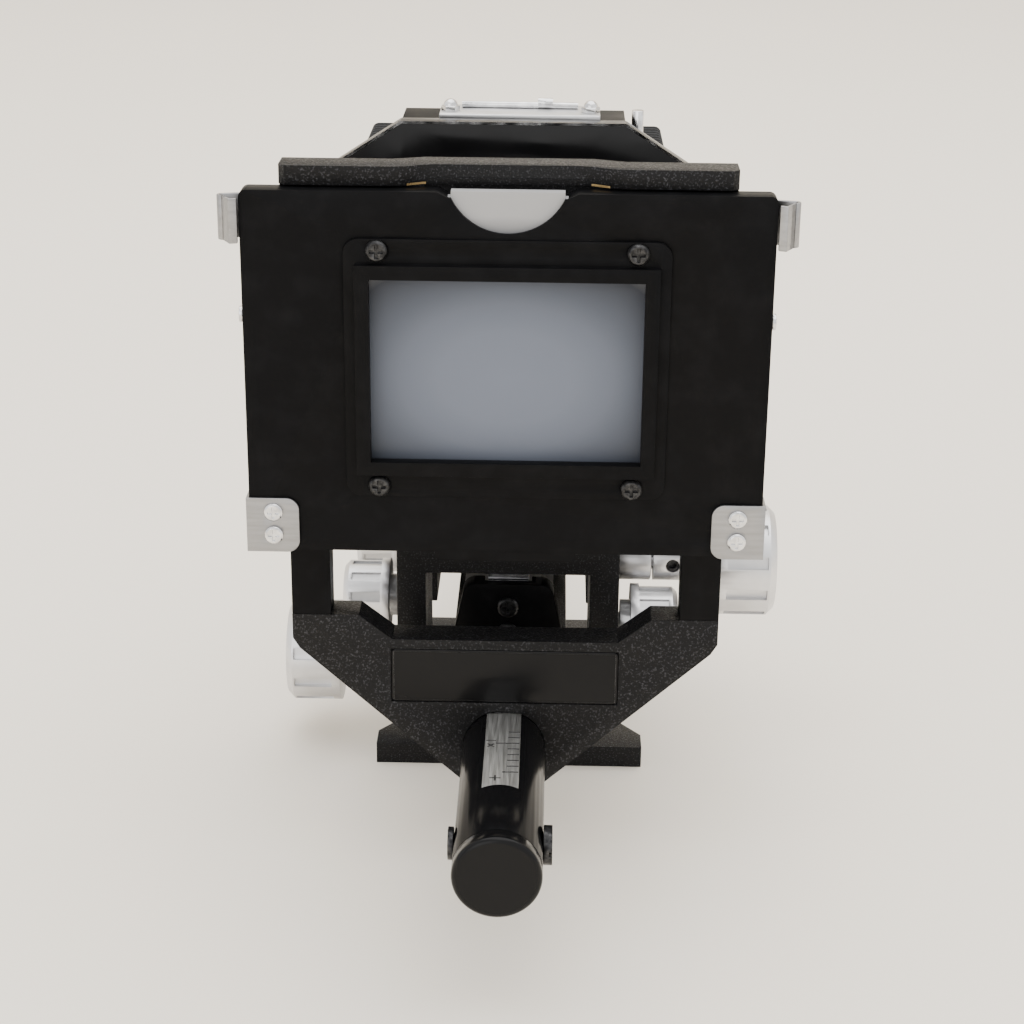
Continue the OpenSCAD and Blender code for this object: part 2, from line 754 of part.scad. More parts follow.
module post(side) {
    low = axis_h + shoulder_rise;
    high = panel_top - 3 - stage_rise - body_gap;
    color(black) difference() {
        block([side > 0 ? post_outer - post_w : -post_outer, post_y, low],
            [side > 0 ? post_outer : post_w - post_outer, post_y + post_t, high]);
        dowel_holes(low - 1, low + 6.2);
    }
}

module left_post() {
    post(-1);
}

module right_post() {
    post(1);
}

module post_dowels() {
    low = axis_h + shoulder_rise - 6;
    color(satin) for (side = [-1, 1])
        translate([side * (post_outer - post_w / 2), post_y + post_t / 2, low])
            cylinder(h = 12, r = 1.2);
}

// The thumbscrew under the boss that locks the carriage on the tube.
module carriage_lock_screw() {
    y = boss_back - 4.5;
    top = axis_h - boss_r - 2 - body_gap;
    color(satin) {
        translate([0, y, top - 4]) difference() {
            cylinder(h = 4, r = 4.2);
            for (i = [0 : 11]) rotate([0, 0, i * 30]) translate([4.2, 0, -1]) cylinder(h = 6, r = 0.45);
        }
        translate([0, y, top - 0.01]) cylinder(h = axis_h - tube_r - 0.3 - top, r = lock_shank_r);
    }
}

// ---- stage ----

module stage_frame() {
    low = hinge_z + 1.2;
    bar_low = panel_top + 0.3;
    half = stage_w / 2;
    inner = post_outer - post_w - slide_gap;
    color(crinkle) difference() {
        union() {
            slab(stage_y, stage_t - 2.6 - slide_gap) translate([-half, low]) square([stage_w, bar_low - low + 1]);
            for (side = [-1, 1]) {
                block([side > 0 ? inner - 5 : -inner, stage_y, low],
                    [side > 0 ? inner : 5 - inner, post_y + post_t + 3, panel_top - 3]);
                block([side > 0 ? inner - 5 : -half + 2, post_y + post_t + slide_gap, low],
                    [side > 0 ? half - 2 : 5 - inner, post_y + post_t + 3, panel_top - 3]);
            }
            for (side = [-1, 1]) {
                lug = side > 0 ? half - 1.6 : -half - 1.2;
                bar_x(lug, lug + 2.8, 1.3, hinge_y, hinge_z);
                block([lug, hinge_y, hinge_z - 1.3], [lug + 2.8, stage_y + 1.2, low + 3]);
            }
            translate([0, 0, bar_low]) linear_extrude(bar_h) stage_bar_outline();
            block([-half, stage_y, panel_top - 1.5], [half, stage_y + stage_t, bar_low + 0.5]);
        }
        slab(stage_y - 1, 30) translate([-22, optic_z - 16]) square([44, 32]);
        bar_x(-half - 2, half + 2, hinge_r + screw_gap, hinge_y, hinge_z);
        block([-recess_half, stage_y - 1, panel_top - 1],
            [recess_half, stage_y + bar_set_back - 1.6, bar_low + 0.01]);
    }
}

// The wavy plan of the bar along the top of the stage.
module stage_bar_outline() {
    front = panel_y + 2.5;
    back = stage_y + stage_t;
    half = stage_w / 2;
    wide = recess_half + 5;
    polygon([
        [-half + 1, front], [-wide, front], [-recess_half - 2.5, front + 0.5],
        [-recess_half, front + bar_set_back - 0.4], [2.5 - recess_half, front + bar_set_back],
        [recess_half - 2.5, front + bar_set_back], [recess_half, front + bar_set_back - 0.4],
        [recess_half + 2.5, front + 0.5], [wide, front], [half - 1, front], [half, front + 1],
        [half, back], [wide, back], [recess_half, back + 1.8],
        [-recess_half, back + 1.8], [-wide, back], [-half, back], [-half, front + 1],
    ]);
}

// The two pins that the front panel swings on.
module hinge_pins() {
    reach = panel_w / 2 - 0.3;
    color(satin) for (side = [-1, 1]) {
        inner = stage_w / 2 - 1.6;
        bar_x(side > 0 ? inner : -reach, side > 0 ? reach : -inner, hinge_r, hinge_y, hinge_z);
    }
}

// The black plate that the slide mount is pushed against, behind the diffuser.
module slide_gate() {
    color(black) slab(stage_y - 0.8, 0.8) difference() {
        round_rect(-27, optic_z - 21, 27, optic_z + 25, 1.5);
        translate([-18.5, optic_z - 12.5]) square([37, 25]);
    }
}

module hood_bellows() {
    color(black) folds(stage_y + stage_t - 2.6 - slide_gap, hood_back, 6, hood_half, 0.8, 2.4);
}

hood_back = post_y + post_t + 3.2 + 7.2;

module hood_ring() {
    color(satin) slab(hood_back, 1.4) difference() {
        translate([0, optic_z]) circle(25);
        translate([0, optic_z]) circle(20);
    }
}

// ---- front panel, which carries the diffuser and the clips ----

module front_panel() {
    half = panel_w / 2;
    notch_r = 9.6;
    color(black) difference() {
        union() {
            slab(panel_y, sheet_t) {
                round_rect(-half, panel_bottom, half, panel_top, 1.2);
                polygon([
                    [-tab_half, panel_bottom + 1], [-tab_half, panel_bottom - tab_drop + 0.6],
                    [-tab_half + 0.6, panel_bottom - tab_drop], [tab_half - 0.6, panel_bottom - tab_drop],
                    [tab_half, panel_bottom - tab_drop + 0.6], [tab_half, panel_bottom + 1],
                ]);
            }
            slab(panel_y, flange_d) difference() {
                round_rect(-half, panel_bottom, half, panel_top, 1.2);
                round_rect(-half + sheet_t, panel_bottom + sheet_t, half - sheet_t, panel_top - sheet_t, 0.6);
            }
            for (x = [-half, half - sheet_t])
                block([x, hinge_y - 2, hinge_z - 1.6], [x + sheet_t, hinge_y + 1.8, hinge_z + 1.8]);
        }
        bar_x(-half - 1, half + 1, hinge_r + fit, hinge_y, hinge_z);
        for (x = [-stage_w / 2 - 2, stage_w / 2 - 2.4])
            block([x, panel_y + sheet_t, panel_bottom - 1], [x + 4.4, flange_back + 1, panel_bottom + 1.6]);
        slab(panel_y - 1, sheet_t + 2)
            translate([-window_w / 2 - 0.4, optic_z - window_h / 2 - 0.4])
                square([window_w + 0.8, window_h + 0.8]);
        slab(panel_y - 1, flange_d + 2) {
            translate([0, panel_top - notch_depth + notch_r]) circle(notch_r);
            polygon([
                [-notch_half - 1.8, panel_top + 1], [-notch_half - 1.8, panel_top],
                [-notch_half, panel_top - 0.9], [notch_half, panel_top - 0.9],
                [notch_half + 1.8, panel_top], [notch_half + 1.8, panel_top + 1],
            ]);
        }
        front_holes(bezel_places(), panel_y - 1, panel_y + sheet_t + 1);
        front_holes(corner_places(), panel_y - 1, panel_y + sheet_t + 1);
        bar_x(-half - 1, half + 1, 0.7 + screw_gap, panel_y + flange_d / 2 + 0.2, optic_z + 8);
    }
}

function bezel_places() = [
    for (x = [-bezel_screw_x, bezel_screw_x], z = [optic_z - bezel_screw_z, optic_z + bezel_screw_z]) [x, z],
];

function corner_places() = [
    for (x = [3.9 - panel_w / 2, panel_w / 2 - 3.9], z = [panel_bottom + 2.7, panel_bottom + 6.6]) [x, z],
];

module diffuser() {
    color(opal) slab(opal_y + 0.02, opal_t)
        translate([-opal_half, optic_z - 20]) square([opal_half * 2, panel_top - sheet_t - 0.1 - optic_z + 20]);
    color(opal) slab(opal_y + 0.02, opal_t) translate([-notch_half + 0.3, panel_top - sheet_t - 1])
        square([notch_half * 2 - 0.6, sheet_t + 1]);
}

module window_bezel() {
    color(black) difference() {
        union() {
            slab(panel_y - bezel_t, bezel_t) round_rect(-bezel_half_w, optic_z - bezel_half_h,
                bezel_half_w, optic_z + bezel_half_h, 2.4);
            slab(panel_y - rim_out, rim_out) translate([-rim_half_w, optic_z - rim_half_h])
                square([rim_half_w * 2, rim_half_h * 2]);
        }
        slab(panel_y - rim_out - 1, rim_out + 3) translate([-window_w / 2, optic_z - window_h / 2])
            square([window_w, window_h]);
        front_holes(bezel_places(), panel_y - bezel_t - 1, panel_y + 1);
    }
}

module bezel_screws() {
    color(black) for (p = bezel_places())
        front_screw(p[0], panel_y - bezel_t, p[1], panel_screw_r, 1, bezel_t + sheet_t);
}

// A corner clip: a leaf on the panel's face and one round its side.
module corner_clip(side) {
    half = panel_w / 2;
    low = panel_bottom - 0.3;
    color(satin) difference() {
        union() {
            slab(panel_y - clip_t, clip_t) translate([side * (half + clip_t), 0]) scale_side(side)
                round_inner(-corner_w - clip_t, low, 0, low + corner_h);
            block([side > 0 ? half : -half - clip_t, panel_y - clip_t, low],
                [side > 0 ? half + clip_t : -half, panel_y + flange_d, low + corner_h]);
        }
        front_holes(corner_places(), panel_y - clip_t - 1, panel_y + 1);
    }
}

module scale_side(side) {
    if (side > 0) children(); else mirror([1, 0]) children();
}

// A leaf with its two inner corners rounded.
module round_inner(x0, z0, x1, z1) {
    r = 2;
    translate([x0 + r, z0]) square([x1 - x0 - r, z1 - z0]);
    translate([x0, z0 + r]) square([r + 1, z1 - z0 - 2 * r]);
    for (z = [z0 + r, z1 - r]) translate([x0 + r, z]) circle(r);
}

module left_corner_clip() {
    corner_clip(-1);
}

module right_corner_clip() {
    corner_clip(1);
}

module corner_screws() {
    color(satin) for (p = corner_places())
        front_screw(p[0], panel_y - clip_t, p[1], clip_screw_r, 0.6, clip_t + sheet_t);
}

// A spring clip: a leaf on the panel's side that runs out and curls back to the front edge.
module spring_clip(side) {
    half = panel_w / 2;
    high = panel_top - 1.2;
    r = 0.9;
    color(satin) scale_3d(side) translate([half, panel_y, high - spring_h]) linear_extrude(spring_h) {
        polygon([[0, flange_d], [0, flange_d - clip_t], [spring_out - r, 2.6], [spring_out - r, 2.6 + clip_t]]);
        translate([spring_out - r, 2.6 + clip_t - r]) difference() {
            circle(r);
            circle(r - clip_t);
            translate([-2 * r, -2 * r]) square([2 * r, 4 * r]);
        }
        polygon([
            [spring_out - r, 2.6 + clip_t - 2 * r + clip_t], [spring_out - r, 2.6 + clip_t - 2 * r],
            [1.4, -1.1], [0.2, -1.1 + 0.4], [0.2, -0.2], [1.2, -0.6],
        ]);
    }
}

module scale_3d(side) {
    if (side > 0) children(); else mirror([1, 0, 0]) children();
}

module left_spring_clip() {
    spring_clip(-1);
}

module right_spring_clip() {
    spring_clip(1);
}

module side_screws() {
    half = panel_w / 2;
    y = panel_y + flange_d / 2 + 0.2;
    color(satin) for (side = [-1, 1]) scale_3d(side) {
        bar_x(half - sheet_t, half + 0.01, 0.7, y, optic_z + 8);
        bar_x(half, half + 0.7, 1.3, y, optic_z + 8);
    }
}

// ---- front standard ----

module front_saddle() {
    saddle(front_saddle_y, front_saddle_len, rail_y + body_gap, front_drive_y,
        [[-1, front_saddle_y + 15], [1, front_saddle_y + 5]]);
}

module front_board() {
    board(front_board_y, board_rise, board_half, mount_r);
}

module lens_mount_ring() {
    mirror_y(front_board_y) mount_ring(front_board_y, 2.4, mount_r, mount_r + 4);
}

module mirror_y(y) {
    translate([0, 2 * y, 0]) mirror([0, 1, 0]) children();
}

housing_y = front_board_y + board_t;
housing_t = 11;
housing_top = optic_z + board_rise - 0.4;
pin_x = board_top_half + 2.2;
pin_z = housing_top - 7;

module head_housing() {
    half = bellows_outer - 1;
    color(black) difference() {
        union() {
            slab(housing_y, housing_t) difference() {
                union() {
                    translate([-half, optic_z - half]) square(half * 2);
                    translate([-board_top_half, optic_z]) square([board_top_half * 2, housing_top - optic_z]);
                }
                translate([0, optic_z]) circle(mount_r + 1);
            }
            block([pin_x - 2.4, housing_y, pin_z - 7], [pin_x + 2.4, housing_y + 9, pin_z]);
        }
        translate([pin_x, housing_y + 6, pin_z - 6.5]) cylinder(h = 9, r = 1 + fit);
        translate([0, 0, -1]) block([pin_x - 1.6, housing_y + 4.4, pin_z + 1], [pin_x + 1.6, housing_y + 7.6, housing_top + 4]);
    }
}

module linkage_plate() {
    color(satin) block([-12.5, housing_y + 1, housing_top], [14.5, housing_y + 10, housing_top + 0.9]);
}

module acorn_screws() {
    color(satin) for (x = [-10.7, 12.9]) translate([x, housing_y + 4, housing_top + 0.9]) {
        cylinder(h = 0.9, r = 1.6, $fn = 6);
        intersection() {
            translate([0, 0, 0.8]) sphere(1.25);
            translate([-2, -2, 0.8]) cube(4);
        }
    }
}

module linkage_rod() {
    color(satin) {
        bar_x(-8.9, 10.8, 0.55, housing_y + 7, housing_top + 0.9 + 0.55);
        bar_x(4, 6.5, 0.9, housing_y + 7, housing_top + 0.9 + 0.9);
    }
}

module release_pin() {
    color(satin) translate([pin_x, housing_y + 6, pin_z - 4]) cylinder(h = 12, r = 1);
}

module front_sleeve() {
    sleeve(front_drive_y);
}

// The bearing sleeve of a drive shaft, on the right of a saddle.
module sleeve(y) {
    color(satin) difference() {
        bar_x(saddle_half, sleeve_end - body_gap, sleeve_r, y, drive_z);
        bar_x(saddle_half - 1, sleeve_end + 1, shaft_r + fit, y, drive_z);
    }
}

module front_pinion() {
    color(satin) pinion(-3.6, 3.6, -saddle_inner - 1.5, knob_end - 3, front_drive_y, drive_z, -1, front_drive_y);
}

module front_drive_knob() {
    color(satin) drive_knob(sleeve_end, knob_hub_end, 1, front_drive_y, drive_z)
        bar_y(front_drive_y - sleeve_r - 1, front_drive_y, 1.2 + screw_gap, sleeve_end + 3.4, drive_z);
}

module front_set_screw() {
    x = sleeve_end + 3.4;
    color(black) difference() {
        bar_y(front_drive_y - sleeve_r + 0.5, front_drive_y - shaft_r, 1.2, x, drive_z);
        bar_y(front_drive_y - sleeve_r, front_drive_y - sleeve_r + 1.3, 0.6, x, drive_z);
    }
}

module left_lock_knob() {
    color(satin) lock_knob(-1, front_saddle_y + 15);
}

module right_lock_knob() {
    color(satin) lock_knob(1, front_saddle_y + 5);
}

// ---- main bellows, in two halves that meet midway ----

bellows_front = housing_y + housing_t + body_gap;
bellows_back = rear_board_y - body_gap;
bellows_mid = (bellows_front + bellows_back) / 2;

module front_bellows_half() {
    color(black) folds(bellows_front, bellows_mid, bellows_folds, bellows_outer, 0.8, 2.6);
}

module rear_bellows_half() {
    color(black) folds(bellows_mid, bellows_back, bellows_folds, bellows_outer, 0.8, 2.6);
}

// ---- rear standard ----

module rear_saddle() {
    saddle(rear_saddle_y, rear_saddle_len, rear_saddle_y + rear_pad_in, rear_drive_y, [[-1, rear_lock_y]]);
}

module rear_board() {
    board(rear_board_y, rear_board_rise, rear_board_half, camera_r);
}

module camera_mount_ring() {
    mount_ring(rear_board_y + board_t, 4, camera_r, camera_r + 3.5);
}

module rear_sleeve() {
    sleeve(rear_drive_y);
}

module rear_pinion() {
    color(satin) pinion(-3.6, 3.6, -saddle_inner - 1.5, knob_end - 3, rear_drive_y, drive_z, -1, front_drive_y);
}

module rear_drive_knob() {
    color(satin) drive_knob(sleeve_end, knob_hub_end, 1, rear_drive_y, drive_z);
}

module rear_lock_knob() {
    color(satin) lock_knob(-1, rear_lock_y);
}

// ---- rail drive, on the base block ----

rail_knob_start = block_half + body_gap;
rail_knob_x = 33;

module rail_pinion() {
    color(satin) pinion(-3.6, 3.6, -rail_knob_x - knob_len + 3, block_half - 4.5,
        rail_drive_y, rail_drive_z, 1, rail_drive_y);
}

module rail_drive_knob() {
    color(satin) drive_knob(-rail_knob_start, -rail_knob_x, -1, rail_drive_y, rail_drive_z);
}

foot();
base_block();
tripod_bush();
foot_screws();
rail();
rail_end_block();
rail_end_screws();
rail_stop();
guide_tube();
tube_cap();
tube_cross_screw();
scale_plate();
carriage_casting();
name_plate();
left_post();
right_post();
post_dowels();
carriage_lock_screw();
stage_frame();
hinge_pins();
slide_gate();
hood_bellows();
hood_ring();
front_panel();
diffuser();
window_bezel();
bezel_screws();
left_corner_clip();
right_corner_clip();
corner_screws();
left_spring_clip();
right_spring_clip();
side_screws();
front_saddle();
front_board();
lens_mount_ring();
head_housing();
linkage_plate();
acorn_screws();
linkage_rod();
release_pin();
front_sleeve();
front_pinion();
front_drive_knob();
front_set_screw();
left_lock_knob();
right_lock_knob();
front_bellows_half();
rear_bellows_half();
rear_saddle();
rear_board();
camera_mount_ring();
rear_sleeve();
rear_pinion();
rear_drive_knob();
rear_lock_knob();
rail_pinion();
rail_drive_knob();
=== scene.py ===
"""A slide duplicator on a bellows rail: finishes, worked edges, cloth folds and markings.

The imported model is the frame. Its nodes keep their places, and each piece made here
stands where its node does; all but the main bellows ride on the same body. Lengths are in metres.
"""
import json
import math

import bmesh
import bpy
from mathutils import Matrix, Vector


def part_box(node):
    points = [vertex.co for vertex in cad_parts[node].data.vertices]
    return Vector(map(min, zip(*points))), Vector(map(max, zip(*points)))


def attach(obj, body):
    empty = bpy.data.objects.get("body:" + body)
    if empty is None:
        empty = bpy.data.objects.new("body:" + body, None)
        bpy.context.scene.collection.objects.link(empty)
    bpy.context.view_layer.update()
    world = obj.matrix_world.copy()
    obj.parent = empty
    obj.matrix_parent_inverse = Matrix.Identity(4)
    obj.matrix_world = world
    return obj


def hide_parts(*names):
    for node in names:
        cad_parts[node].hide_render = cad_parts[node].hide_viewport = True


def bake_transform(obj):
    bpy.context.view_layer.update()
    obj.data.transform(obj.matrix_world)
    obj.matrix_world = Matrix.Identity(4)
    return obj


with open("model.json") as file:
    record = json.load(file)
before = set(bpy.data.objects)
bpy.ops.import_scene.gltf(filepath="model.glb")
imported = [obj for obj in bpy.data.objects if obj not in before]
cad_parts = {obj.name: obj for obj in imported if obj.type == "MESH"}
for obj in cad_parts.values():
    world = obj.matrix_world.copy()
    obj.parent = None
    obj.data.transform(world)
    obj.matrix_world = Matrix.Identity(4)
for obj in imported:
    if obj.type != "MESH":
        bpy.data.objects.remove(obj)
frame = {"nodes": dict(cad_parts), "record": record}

bl_info = {
    "name": "Slide duplicator",
    "version": (1, 0, 0),
    "blender": (4, 5, 0),
    "location": "View3D > Sidebar > Slide duplicator",
    "description": "Dresses the slide duplicator's model with finishes, folds and markings",
    "category": "Object",
}

MM = 0.001
BODY_OF = {
    node: body
    for body, nodes in frame["record"]["behaviour"]["bodies"].items()
    for node in nodes
}
SLOT_OF = {row["node"]: row["material_slot"] for row in frame["record"]["subparts"]}
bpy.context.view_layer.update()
OPTIC_Z = sum(corner[2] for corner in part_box("lens_mount_ring")) / 2

# The camera that the photograph was taken with: place, and degrees down, left and rolled
CAMERA_PLACE = (0.00707, -0.39812, 0.19457)
CAMERA_DOWN, CAMERA_YAW, CAMERA_ROLL = 21.123, -1.0735, 0.5679
SENSOR_WIDTH = 36

# The paper sweep: half width, where it starts to rise, radius of the rise, and top
SWEEP_HALF, SWEEP_Y, SWEEP_RADIUS, SWEEP_TOP = 4.0, 1.2, 0.8, 4.0
SWEEP_STEPS = 12
LIGHT_COLOUR = (1.0, 0.99, 0.975)

# The diffuser's window, and the painted light that falls off from its middle: (distance, share)
WINDOW_Z = 93.4 * MM
WINDOW_WIDTH, WINDOW_HEIGHT = 42 * MM, 30 * MM
PAINTED_FALL_OFF = ((0.25, 0.95), (0.4, 0.78), (0.5, 0.56), (0.68, 0.27))
# Painted light: the same plate is painted paler in the notch above the window, where light falls on it
NOTCH_DISTANCE, NOTCH_PAINTED_LIGHT = 0.86, (0.33, 0.33, 0.335)

# One fold of cloth: (share of the fold, how far out)
FOLD = ((0.03, 0.0), (0.22, 0.42), (0.44, 0.96), (0.5, 1.0), (0.56, 0.96), (0.78, 0.42), (0.97, 0.0))
FOLD_CORNER, INNER_CORNER = 1.2 * MM, 1.6 * MM
MAIN_FOLD_DEPTH, HOOD_FOLD_DEPTH = 2.6 * MM, 2.4 * MM

# How far the scale's marks go into the plate and stand up from it
MARK_SINK, MARK_RISE = 0.02 * MM, 0.03 * MM
STROKE_HALF = 0.15 * MM


# ---- settings ----

class DuplicatorSizes(bpy.types.PropertyGroup):
    """Sizes of what is worked on top of the model"""

    casting_edge: bpy.props.FloatProperty(
        name="Casting edge", description="Radius along the castings' edges",
        default=0.5 * MM, min=0.1 * MM, max=1 * MM, unit="LENGTH")
    sheet_edge: bpy.props.FloatProperty(
        name="Sheet edge", description="Radius along the edges of sheet and plate",
        default=0.2 * MM, min=0.05 * MM, max=0.4 * MM, unit="LENGTH")
    screw_edge: bpy.props.FloatProperty(
        name="Screw edge", description="Radius along the edges of screws and pins",
        default=0.1 * MM, min=0.02 * MM, max=0.2 * MM, unit="LENGTH")
    tick_pitch: bpy.props.FloatProperty(
        name="Tick pitch", description="Distance between two ticks on the scale",
        default=2 * MM, min=1 * MM, max=4 * MM, unit="LENGTH")
    tick_width: bpy.props.FloatProperty(
        name="Tick width", description="Width of a tick on the scale",
        default=0.34 * MM, min=0.1 * MM, max=0.5 * MM, unit="LENGTH")
    bellows_folds: bpy.props.IntProperty(
        name="Bellows folds", description="Folds in each half of the main bellows",
        default=4, min=3, max=8)
    hood_folds: bpy.props.IntProperty(
        name="Hood folds", description="Folds in the hood behind the stage",
        default=6, min=4, max=9)
    cloth_thickness: bpy.props.FloatProperty(
        name="Cloth thickness", description="Thickness of the bellows cloth",
        default=0.35 * MM, min=0.2 * MM, max=0.6 * MM, unit="LENGTH")


class DuplicatorFinishes(bpy.types.PropertyGroup):
    """Colours of the finishes"""

    satin_black: bpy.props.FloatVectorProperty(
        name="Satin black", description="Baked paint on the panel and posts",
        subtype="COLOR", size=3, default=(0.0032, 0.0032, 0.0036))
    # The foot also wears this paler finish, as painted light
    crinkle_black: bpy.props.FloatVectorProperty(
        name="Crinkle black", description="Crinkle paint on the castings and the foot",
        subtype="COLOR", size=3, default=(0.0045, 0.0045, 0.005))
    gloss_black: bpy.props.FloatVectorProperty(
        name="Gloss black", description="Gloss paint on the tube, boards and plate",
        subtype="COLOR", size=3, default=(0.0042, 0.0042, 0.0046))
    aluminium: bpy.props.FloatVectorProperty(
        name="Aluminium", description="Satin anodised aluminium",
        subtype="COLOR", size=3, default=(0.68, 0.68, 0.69))
    # The diffuser's colour in the middle of the window, painted darker than the same plate in the
    # notch
    opal: bpy.props.FloatVectorProperty(
        name="Opal", description="The milky diffuser",
        subtype="COLOR", size=3, default=(0.140, 0.157, 0.198))
    backdrop: bpy.props.FloatVectorProperty(
        name="Backdrop", description="The floor and the backdrop",
        subtype="COLOR", size=3, default=(0.95, 0.885, 0.78))


class DuplicatorStudio(bpy.types.PropertyGroup):
    """The camera and the lights"""

    focal_length: bpy.props.FloatProperty(
        name="Focal length", description="Lens on a 36 mm wide sensor",
        default=75.23, min=30, max=150, unit="CAMERA")
    key_power: bpy.props.FloatProperty(
        name="Key power", description="Power of the large light overhead",
        default=15.0, min=0, max=100, subtype="POWER")
    fill_power: bpy.props.FloatProperty(
        name="Fill power", description="Power of the light from the front",
        default=3.6, min=0, max=100, subtype="POWER")
    sky_strength: bpy.props.FloatProperty(
        name="Sky strength", description="Strength of the even light all round",
        default=1.6, min=0, max=3, subtype="FACTOR")


# ---- finishes ----

MATERIALS = {}


def start_finish(name, colour, roughness, metallic=0.0, gloss=0.5):
    """A new material, with its node tree and its shader."""
    material = bpy.data.materials.new(name)
    material.use_nodes = True
    tree = material.node_tree
    shader = tree.nodes["Principled BSDF"]
    shader.inputs["Base Color"].default_value = (*colour, 1)
    shader.inputs["Roughness"].default_value = roughness
    shader.inputs["Metallic"].default_value = metallic
    shader.inputs["Specular IOR Level"].default_value = gloss
    material.diffuse_color = (*colour, 1)
    return material, tree, shader


def grain(tree, scale, detail=2.0, stretch=(1, 1, 1)):
    """Noise over the surface, scale in features per metre."""
    place = tree.nodes.new("ShaderNodeTexCoord")
    mapping = tree.nodes.new("ShaderNodeMapping")
    mapping.inputs["Scale"].default_value = stretch
    noise = tree.nodes.new("ShaderNodeTexNoise")
    noise.inputs["Scale"].default_value = scale
    noise.inputs["Detail"].default_value = detail
    tree.links.new(place.outputs["Object"], mapping.inputs["Vector"])
    tree.links.new(mapping.outputs["Vector"], noise.inputs["Vector"])
    return noise.outputs["Fac"]


def vary_colour(tree, shader, source, low, high, spread=(0.35, 0.65)):
    """The base colour runs from low to high with the grain."""
    ramp = tree.nodes.new("ShaderNodeValToRGB")
    ramp.color_ramp.elements[0].position = spread[0]
    ramp.color_ramp.elements[1].position = spread[1]
    ramp.color_ramp.elements[0].color = (*low, 1)
    ramp.color_ramp.elements[1].color = (*high, 1)
    tree.links.new(source, ramp.inputs["Fac"])
    tree.links.new(ramp.outputs["Color"], shader.inputs["Base Color"])


def vary_roughness(tree, shader, source, low, high):
    """The roughness runs from low to high with the grain."""
    span = tree.nodes.new("ShaderNodeMapRange")
    span.inputs["From Min"].default_value = 0.3
    span.inputs["From Max"].default_value = 0.7
    span.inputs["To Min"].default_value = low
    span.inputs["To Max"].default_value = high
    tree.links.new(source, span.inputs["Value"])
    tree.links.new(span.outputs["Result"], shader.inputs["Roughness"])


def raise_grain(tree, shader, source, height, strength):
    """The grain stands up from the surface by height."""
    bump = tree.nodes.new("ShaderNodeBump")
    bump.inputs["Distance"].default_value = height
    bump.inputs["Strength"].default_value = strength
    tree.links.new(source, bump.inputs["Height"])
    tree.links.new(bump.outputs["Normal"], shader.inputs["Normal"])


def lighter(colour, factor):
    """The colour, scaled."""
    return tuple(min(1.0, channel * factor) for channel in colour)


def make_satin_paint(colour):
    """Baked satin black with a faint orange peel and a little dust."""
    material, tree, shader = start_finish("satin_black_paint", colour, 0.42, gloss=0.06)
    vary_colour(tree, shader, grain(tree, 260, 6), colour, lighter(colour, 1.8), (0.45, 0.8))
    vary_roughness(tree, shader, grain(tree, 90, 4), 0.34, 0.5)
    raise_grain(tree, shader, grain(tree, 2600, 2), 0.03 * MM, 0.35)
    return material


def make_crinkle_paint(colour):
    """Wrinkled black paint: ridges under a millimetre apart, with painted highlights on their tops."""
    material, tree, shader = start_finish("crinkle_black_paint", colour, 0.5, gloss=0.16)
    ridges = grain(tree, 3300, 3)
    # Painted highlight: the raised ridge tops are painted paler, as glints on the wrinkles
    vary_colour(tree, shader, ridges, colour, lighter(colour, 12.0), (0.56, 0.76))
    vary_roughness(tree, shader, ridges, 0.6, 0.34)
    raise_grain(tree, shader, ridges, 0.12 * MM, 0.85)
    return material


def make_gloss_paint(colour):
    """Smooth gloss black with fine handling marks."""
    material, tree, shader = start_finish("gloss_black_paint", colour, 0.2, gloss=0.14)
    vary_roughness(tree, shader, grain(tree, 140, 7), 0.12, 0.27)
    raise_grain(tree, shader, grain(tree, 300, 2), 0.02 * MM, 0.12)
    return material


def make_satin_aluminium(colour):
    """Turned and anodised aluminium, a little duller where it is handled."""
    material, tree, shader = start_finish("satin_aluminium", colour, 0.3, 1.0)
    vary_colour(tree, shader, grain(tree, 200, 5), lighter(colour, 0.93), lighter(colour, 1.05))
    vary_roughness(tree, shader, grain(tree, 900, 4, (0.15, 1, 1)), 0.36, 0.5)
    raise_grain(tree, shader, grain(tree, 5200, 2, (1, 0.2, 0.2)), 0.01 * MM, 0.2)
    return material


def make_clip_metal():
    """Rolled aluminium sheet, duller than the turned knobs."""
    material, tree, shader = start_finish("clip_sheet_metal", (0.3, 0.3, 0.305), 0.4, 1.0)
    strokes = grain(tree, 1500, 4, (0.1, 1, 1))
    vary_colour(tree, shader, strokes, (0.27, 0.27, 0.275), (0.33, 0.33, 0.335))
    vary_roughness(tree, shader, strokes, 0.34, 0.46)
    return material


def make_bright_steel():
    """Plated screws and pins."""
    material, tree, shader = start_finish("bright_plated_steel", (0.74, 0.74, 0.75), 0.18, 1.0)
    vary_colour(tree, shader, grain(tree, 700, 5), (0.55, 0.55, 0.56), (0.82, 0.82, 0.82))
    vary_roughness(tree, shader, grain(tree, 500, 3), 0.12, 0.28)
    return material


def make_machined_steel():
    """Cut steel on the pinions."""
    material, tree, shader = start_finish("machined_steel", (0.5, 0.5, 0.52), 0.3, 1.0)
    vary_colour(tree, shader, grain(tree, 400, 5), (0.36, 0.36, 0.38), (0.6, 0.6, 0.62))
    vary_roughness(tree, shader, grain(tree, 3000, 2, (0.05, 1, 1)), 0.22, 0.42)
    return material


def make_brass():
    """Dull machined brass."""
    material, tree, shader = start_finish("dull_brass", (0.62, 0.44, 0.19), 0.34, 1.0)
    vary_colour(tree, shader, grain(tree, 500, 6), (0.45, 0.31, 0.14), (0.7, 0.52, 0.25))
    vary_roughness(tree, shader, grain(tree, 800, 3), 0.26, 0.45)
    return material


def make_blackened_steel():
    """Oil-blackened screws, with steel showing faintly through."""
    material, tree, shader = start_finish("blackened_steel", (0.03, 0.03, 0.032), 0.3, 0.7)
    vary_colour(tree, shader, grain(tree, 1500, 4), (0.012, 0.012, 0.013), (0.07, 0.07, 0.072),
        (0.4, 0.8))
    vary_roughness(tree, shader, grain(tree, 900, 3), 0.25, 0.42)
    return material


